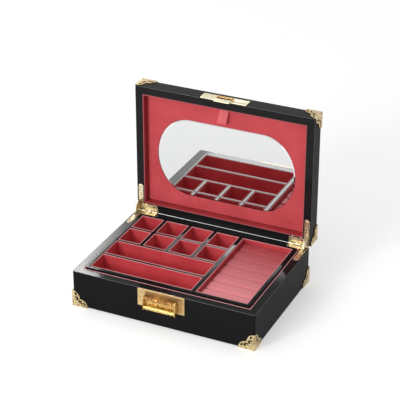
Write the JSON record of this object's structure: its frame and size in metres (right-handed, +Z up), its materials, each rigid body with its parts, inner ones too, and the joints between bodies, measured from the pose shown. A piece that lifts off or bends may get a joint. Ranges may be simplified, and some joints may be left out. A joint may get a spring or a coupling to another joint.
{
  "type": "travel jewelry box",
  "caption": "Hinged lacquered case lined in velvet, with a lift-out divided tray, ring cushion, oval mirror door in the lid, flip-up latch and brass corners.",
  "frame": {"origin": "middle of the underside of the felt that the box stands on", "axes": "+Z up, +X to the right seen from the front, where the latch is, and +Y to the back, where the hinges are; the lid stands open"},
  "size_m": [0.2622, 0.2228, 0.2458],
  "materials": {
    "lacquer": "black piano lacquer on wood, high gloss",
    "tray_lacquer": "black lacquer on wood, gloss",
    "velvet": "red velvet lining on card, matte",
    "door_velvet": "thin board wrapped in red velvet",
    "cushion": "red velvet over foam",
    "ribbon": "red velvet ribbon",
    "brass": "bright stamped brass",
    "mirror": "silvered glass with a narrow bevel",
    "board": "plain board, hidden",
    "felt": "black felt"
  },
  "bodies": {
    "base": {"base_shell": "lacquer", "base_bottom_board": "board", "underside_felt": "felt", "base_lining": "velvet", "tray_rest_left": "velvet", "tray_rest_right": "velvet", "lock_plate": "brass", "hinge_base_leaf_left": "brass", "hinge_base_leaf_right": "brass", "hinge_pin_left": "brass", "hinge_pin_right": "brass", "hinge_base_screw_left": "brass", "hinge_base_screw_right": "brass", "base_corner_front_left": "brass", "base_corner_front_right": "brass", "base_corner_back_left": "brass", "base_corner_back_right": "brass"},
    "latch": {"latch_flap": "brass", "latch_grip_bar": "brass", "latch_pin": "brass"},
    "tray": {"tray_frame": "tray_lacquer", "tray_floor": "board", "tray_main_divider": "tray_lacquer", "tray_row_divider_1": "tray_lacquer", "tray_row_divider_2": "tray_lacquer", "tray_row_divider_3": "tray_lacquer", "tray_column_divider_1": "tray_lacquer", "tray_column_divider_2": "tray_lacquer", "tray_column_divider_3": "tray_lacquer", "pocket_lining_1": "velvet", "pocket_lining_2": "velvet", "ring_bay_lining": "velvet", "ring_pad": "cushion", "cell_lining_1_1": "velvet", "cell_lining_1_2": "velvet", "cell_lining_1_3": "velvet", "cell_lining_1_4": "velvet", "cell_lining_2_1": "velvet", "cell_lining_2_2": "velvet", "cell_lining_2_3": "velvet", "cell_lining_2_4": "velvet"},
    "lid": {"lid_shell": "lacquer", "lid_lining": "velvet", "door_stop_frame": "velvet", "strike_plate": "brass", "hinge_lid_leaf_left": "brass", "hinge_lid_leaf_right": "brass", "hinge_lid_screw_left": "brass", "hinge_lid_screw_right": "brass", "mirror_pivot_left": "brass", "mirror_pivot_right": "brass", "lid_corner_front_left": "brass", "lid_corner_front_right": "brass", "lid_corner_back_left": "brass", "lid_corner_back_right": "brass"},
    "door": {"mirror_board": "door_velvet", "mirror_glass": "mirror", "mirror_backing": "board"},
    "tab": {"pull_tab": "ribbon"}
  },
  "joints": [
    {"name": "lid_hinge", "type": "hinge", "parent": "base", "child": "lid", "pos_m": [0, 0.095, 0.0526], "axis": [-1, 0, 0], "range_deg": [-90, 0]},
    {"name": "latch_flap", "type": "hinge", "parent": "base", "child": "latch", "pos_m": [0, -0.0993, 0.0424], "axis": [-1, 0, 0], "range_deg": [0, 174]},
    {"name": "tray_lift", "type": "slide", "parent": "base", "child": "tray", "axis": [0, 0, 1], "range_m": [0, 0.045]},
    {"name": "mirror_door", "type": "hinge", "parent": "lid", "child": "door", "pos_m": [0, 0.1067, 0.0689], "axis": [1, 0, 0], "range_deg": [0, 30]},
    {"name": "pull_tab", "type": "hinge", "parent": "door", "child": "tab", "pos_m": [0, 0.103, 0.2286], "axis": [-1, 0, 0], "range_deg": [0, 75]}
  ]
}
